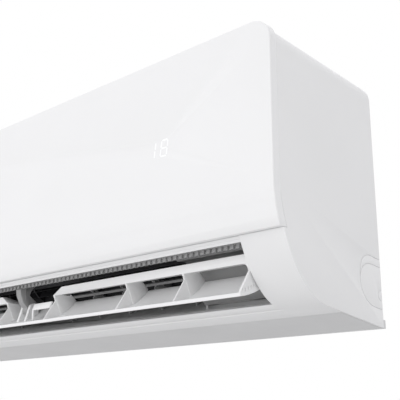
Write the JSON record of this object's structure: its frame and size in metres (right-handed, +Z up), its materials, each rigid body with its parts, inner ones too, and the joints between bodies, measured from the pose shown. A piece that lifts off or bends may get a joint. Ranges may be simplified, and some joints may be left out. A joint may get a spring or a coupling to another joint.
{
  "type": "split air conditioner indoor unit",
  "caption": "Wall-mounted indoor unit of a split air conditioner, with hinged front panel, open louvre, cross-flow fan, coil, filters and a hanging wall plate.",
  "frame": {"origin": "centre of the wall plate's four screw holes, on the wall", "axes": "+X along the unit to the right seen from the room, +Y into the wall, -Y to the room, +Z up"},
  "size_m": [0.84, 0.193, 0.295],
  "materials": {
    "panel_white": "satin",
    "casing_white": "satin",
    "louvre_white": "satin",
    "lining_grey": "matte",
    "arm_grey": "matte",
    "comb_grey": "matte",
    "rear_grey": "matte",
    "fan_black": "matte",
    "dark_plastic": "matte",
    "fins": "satin",
    "galvanised": "satin",
    "steel": "satin",
    "copper": "satin",
    "nut_brass": "satin",
    "board_green": "matte",
    "mesh_grey": "matte",
    "digit_white": "lit",
    "bush_rubber": "matte"
  },
  "bodies": {
    "unit": {"wall_plate": "galvanised", "rear_chassis": "rear_grey", "front_casing": "casing_white", "casing_screws": "steel", "evaporator_front": "fins", "evaporator_rear": "fins", "evaporator_end_plates": "galvanised", "tube_bends": "copper", "gas_pipe": "copper", "liquid_pipe": "copper", "flare_nuts": "nut_brass", "drain_pan": "dark_plastic", "comb_strip": "comb_grey", "duct_end_block": "lining_grey", "fan_bearing": "bush_rubber", "bearing_holder": "dark_plastic", "fan_motor": "galvanised", "motor_clamp": "dark_plastic", "electric_box": "dark_plastic", "electric_box_cover": "galvanised", "control_board": "board_green", "terminal_block": "dark_plastic", "cable_clamp": "dark_plastic", "louvre_motor": "casing_white", "louvre_bush": "dark_plastic", "louvre_support_arm": "arm_grey"},
    "panel": {"front_panel": "panel_white", "display_digits": "digit_white", "display_housing": "dark_plastic", "panel_stiffener": "casing_white"},
    "louvre": {"louvre_blade": "louvre_white", "louvre_frame_left": "louvre_white", "louvre_frame_right": "louvre_white", "louvre_centre_ear": "louvre_white"},
    "fan": {"fan_rotor": "fan_black", "fan_shaft": "steel"},
    "button": {"test_button": "dark_plastic"},
    "filter_left": {"filter_frame_left": "dark_plastic", "filter_mesh_left": "mesh_grey"},
    "filter_right": {"filter_frame_right": "dark_plastic", "filter_mesh_right": "mesh_grey"},
    "link_left": {"link_bar_left": "rear_grey"},
    "link_right": {"link_bar_right": "rear_grey"},
    "vane_left_1": {"vane_left_1": "lining_grey"},
    "vane_left_2": {"vane_left_2": "lining_grey"},
    "vane_left_3": {"vane_left_3": "lining_grey"},
    "vane_left_4": {"vane_left_4": "lining_grey"},
    "vane_left_5": {"vane_left_5": "lining_grey"},
    "vane_right_1": {"vane_right_1": "lining_grey"},
    "vane_right_2": {"vane_right_2": "lining_grey"},
    "vane_right_3": {"vane_right_3": "lining_grey"},
    "vane_right_4": {"vane_right_4": "lining_grey"},
    "vane_right_5": {"vane_right_5": "lining_grey"}
  },
  "joints": [
    {"name": "panel_hinge", "type": "hinge", "parent": "unit", "child": "panel", "pos_m": [0, -0.176, 0.121], "axis": [-1, 0, 0], "range_deg": [0, 60]},
    {"name": "louvre_hinge", "type": "hinge", "parent": "unit", "child": "louvre", "pos_m": [0, -0.145, -0.1133], "axis": [1, 0, 0], "range_deg": [-78, 20]},
    {"name": "fan_spin", "type": "hinge", "parent": "unit", "child": "fan", "pos_m": [0, -0.082, -0.054], "axis": [1, 0, 0], "continuous": true},
    {"name": "test_button_slide", "type": "slide", "parent": "unit", "child": "button", "axis": [0, 1, 0], "range_m": [0, 0.0015], "stiffness_N_per_m": 300, "springref_m": -0.0005},
    {"name": "filter_left_slide", "type": "slide", "parent": "unit", "child": "filter_left", "axis": [0, 0.5, 0.866], "range_m": [0, 0.14]},
    {"name": "filter_right_slide", "type": "slide", "parent": "unit", "child": "filter_right", "axis": [0, 0.5, 0.866], "range_m": [0, 0.14]},
    {"name": "vane_left_1_turn", "type": "hinge", "parent": "unit", "child": "vane_left_1", "pos_m": [-0.324, -0.088, -0.122], "axis": [0, -0.4695, 0.8829], "range_deg": [-30, 30]},
    {"name": "vane_left_2_turn", "type": "hinge", "parent": "unit", "child": "vane_left_2", "pos_m": [-0.268, -0.088, -0.122], "axis": [0, -0.4695, 0.8829], "range_deg": [-30, 30]},
    {"name": "vane_left_3_turn", "type": "hinge", "parent": "unit", "child": "vane_left_3", "pos_m": [-0.212, -0.088, -0.122], "axis": [0, -0.4695, 0.8829], "range_deg": [-30, 30]},
    {"name": "vane_left_4_turn", "type": "hinge", "parent": "unit", "child": "vane_left_4", "pos_m": [-0.156, -0.088, -0.122], "axis": [0, -0.4695, 0.8829], "range_deg": [-30, 30]},
    {"name": "vane_left_5_turn", "type": "hinge", "parent": "unit", "child": "vane_left_5", "pos_m": [-0.1, -0.088, -0.122], "axis": [0, -0.4695, 0.8829], "range_deg": [-30, 30]},
    {"name": "link_left_turn", "type": "hinge", "parent": "vane_left_1", "child": "link_left", "pos_m": [-0.324, -0.0986, -0.12764], "axis": [0, -0.4695, 0.8829], "range_deg": [-30, 30]},
    {"name": "vane_right_1_turn", "type": "hinge", "parent": "unit", "child": "vane_right_1", "pos_m": [0.015, -0.088, -0.122], "axis": [0, -0.4695, 0.8829], "range_deg": [-30, 30]},
    {"name": "vane_right_2_turn", "type": "hinge", "parent": "unit", "child": "vane_right_2", "pos_m": [0.071, -0.088, -0.122], "axis": [0, -0.4695, 0.8829], "range_deg": [-30, 30]},
    {"name": "vane_right_3_turn", "type": "hinge", "parent": "unit", "child": "vane_right_3", "pos_m": [0.127, -0.088, -0.122], "axis": [0, -0.4695, 0.8829], "range_deg": [-30, 30]},
    {"name": "vane_right_4_turn", "type": "hinge", "parent": "unit", "child": "vane_right_4", "pos_m": [0.183, -0.088, -0.122], "axis": [0, -0.4695, 0.8829], "range_deg": [-30, 30]},
    {"name": "vane_right_5_turn", "type": "hinge", "parent": "unit", "child": "vane_right_5", "pos_m": [0.239, -0.088, -0.122], "axis": [0, -0.4695, 0.8829], "range_deg": [-30, 30]},
    {"name": "link_right_turn", "type": "hinge", "parent": "vane_right_1", "child": "link_right", "pos_m": [0.015, -0.0986, -0.12764], "axis": [0, -0.4695, 0.8829], "range_deg": [-30, 30]}
  ],
  "couplings": [
    {"joint": "vane_left_2_turn", "follows": "vane_left_1_turn", "ratio": 1},
    {"joint": "vane_left_3_turn", "follows": "vane_left_1_turn", "ratio": 1},
    {"joint": "vane_left_4_turn", "follows": "vane_left_1_turn", "ratio": 1},
    {"joint": "vane_left_5_turn", "follows": "vane_left_1_turn", "ratio": 1},
    {"joint": "link_left_turn", "follows": "vane_left_1_turn", "ratio": -1},
    {"joint": "vane_right_2_turn", "follows": "vane_right_1_turn", "ratio": 1},
    {"joint": "vane_right_3_turn", "follows": "vane_right_1_turn", "ratio": 1},
    {"joint": "vane_right_4_turn", "follows": "vane_right_1_turn", "ratio": 1},
    {"joint": "vane_right_5_turn", "follows": "vane_right_1_turn", "ratio": 1},
    {"joint": "link_right_turn", "follows": "vane_right_1_turn", "ratio": -1}
  ]
}
